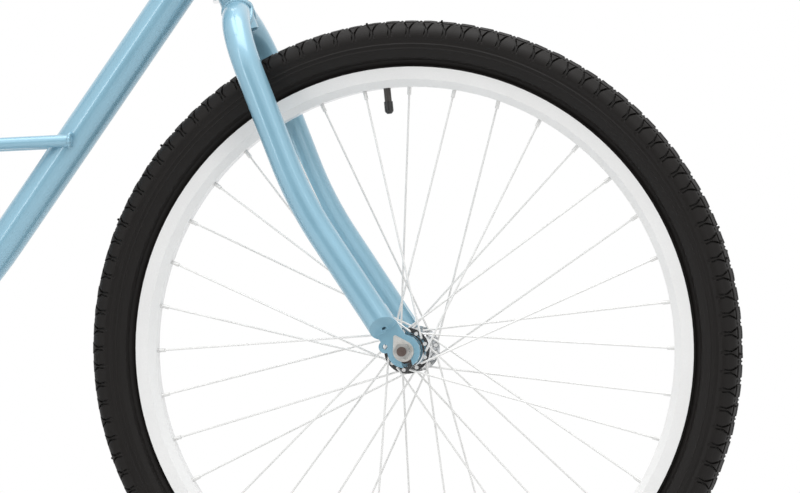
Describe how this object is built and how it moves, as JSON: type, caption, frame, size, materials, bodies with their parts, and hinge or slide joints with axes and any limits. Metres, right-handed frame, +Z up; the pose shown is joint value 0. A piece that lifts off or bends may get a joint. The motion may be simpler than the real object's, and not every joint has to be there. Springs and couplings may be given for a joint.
{
  "type": "bicycle",
  "caption": "Beach cruiser bicycle with a curved cantilever frame, balloon tyres, swept-back handlebar, sprung saddle, coaster brake, chain guard and kickstand",
  "frame": {"origin": "on the ground, midway between the lowest points of the two tyres, in the middle plane of the wheels", "axes": "+X forward, +Y to the rider's left, +Z up"},
  "size_m": [1.756, 0.6922, 1.0518],
  "materials": {
    "frame_paint": "glossy metallic powder-blue paint",
    "chrome": "bright chrome plate",
    "zinc": "zinc-plated steel",
    "chain_steel": "oiled steel",
    "rim_white": "white satin paint",
    "tyre": "black rubber, satin side wall",
    "tube_rubber": "dark rubber",
    "cap_plastic": "black plastic",
    "grip_rubber": "black moulded rubber",
    "saddle_cover": "black padded vinyl"
  },
  "bodies": {
    "frame": {"head_tube": "frame_paint", "top_tube": "frame_paint", "down_tube": "frame_paint", "seat_tube": "frame_paint", "bottom_bracket_shell": "frame_paint", "right_chainstay": "frame_paint", "left_chainstay": "frame_paint", "right_cantilever_stay": "frame_paint", "left_cantilever_stay": "frame_paint", "rear_dropouts": "frame_paint", "stay_bridges": "frame_paint", "headset_cups": "chrome", "bottom_bracket_cups": "zinc", "seat_clamp": "zinc", "chain_guard": "frame_paint", "brake_arm": "zinc", "rear_axle": "zinc", "rear_axle_nuts": "zinc", "kickstand_bracket": "zinc", "chain": "chain_steel"},
    "fork": {"steerer_tube": "frame_paint", "right_fork_blade": "frame_paint", "left_fork_blade": "frame_paint", "front_dropouts": "frame_paint", "headset_cones": "chrome", "front_axle": "zinc", "front_axle_nuts": "zinc", "front_tab_washers": "zinc"},
    "stem": {"stem": "chrome", "stem_hardware": "zinc"},
    "handlebar": {"handlebar": "chrome", "right_grip": "grip_rubber", "left_grip": "grip_rubber"},
    "front_wheel": {"front_hub_shell": "chrome", "front_spokes": "zinc", "front_rim": "rim_white", "front_tyre": "tyre", "front_inner_tube": "tube_rubber", "front_valve_cap": "cap_plastic"},
    "rear_wheel": {"rear_hub_shell": "chrome", "rear_spokes": "zinc", "rear_rim": "rim_white", "rear_tyre": "tyre", "rear_inner_tube": "tube_rubber", "rear_valve_cap": "cap_plastic"},
    "driver": {"rear_cog": "chrome"},
    "crank": {"crank": "chrome", "chainring": "chrome", "crank_cones": "zinc", "pedal_spindles": "zinc"},
    "right_pedal": {"right_pedal": "grip_rubber"},
    "left_pedal": {"left_pedal": "grip_rubber"},
    "seat": {"seat_post": "chrome", "saddle_clamp_core": "zinc"},
    "saddle": {"saddle_clamp": "zinc", "saddle_rails": "zinc", "saddle_springs": "zinc", "saddle_cushion": "saddle_cover"},
    "kickstand": {"kickstand_leg": "chrome"}
  },
  "joints": [
    {"name": "steering", "type": "hinge", "parent": "frame", "child": "fork", "pos_m": [0.34035, 0, 0.73604], "axis": [-0.3665, 0, 0.9304], "range_deg": [-90, 90]},
    {"name": "front_wheel_spin", "type": "hinge", "parent": "fork", "child": "front_wheel", "pos_m": [0.545, 0, 0.333], "axis": [0, 1, 0], "continuous": true},
    {"name": "rear_wheel_spin", "type": "hinge", "parent": "frame", "child": "rear_wheel", "pos_m": [-0.545, 0, 0.333], "axis": [0, 1, 0], "continuous": true},
    {"name": "crank_spin", "type": "hinge", "parent": "frame", "child": "crank", "pos_m": [-0.0608, 0, 0.29], "axis": [0, 1, 0], "continuous": true, "deforming": ["chain"]},
    {"name": "cog_spin", "type": "hinge", "parent": "frame", "child": "driver", "pos_m": [-0.545, 0, 0.333], "axis": [0, 1, 0], "continuous": true},
    {"name": "right_pedal_spin", "type": "hinge", "parent": "crank", "child": "right_pedal", "pos_m": [0.07436, -0.13, 0.19536], "axis": [0, 1, 0], "continuous": true},
    {"name": "left_pedal_spin", "type": "hinge", "parent": "crank", "child": "left_pedal", "pos_m": [-0.19596, 0.13, 0.38464], "axis": [0, 1, 0], "continuous": true},
    {"name": "kickstand_swing", "type": "hinge", "parent": "frame", "child": "kickstand", "pos_m": [-0.455, 0.05588, 0.32718], "axis": [0.0188, 0.9055, 0.424], "range_deg": [0, 88]},
    {"name": "seat_height", "type": "slide", "parent": "frame", "child": "seat", "axis": [-0.3746, 0, 0.9272], "range_m": [-0.085, 0.045]},
    {"name": "saddle_tilt", "type": "hinge", "parent": "seat", "child": "saddle", "pos_m": [-0.27957, 0, 0.83147], "axis": [0, 1, 0], "range_deg": [-12, 12]},
    {"name": "stem_height", "type": "slide", "parent": "fork", "child": "stem", "axis": [-0.3665, 0, 0.9304], "range_m": [-0.03, 0.03]},
    {"name": "handlebar_tilt", "type": "hinge", "parent": "stem", "child": "handlebar", "pos_m": [0.30598, 0, 0.94498], "axis": [0, 1, 0], "range_deg": [-25, 25]}
  ],
  "couplings": [
    {"joint": "cog_spin", "follows": "crank_spin", "ratio": 2.4444}
  ]
}
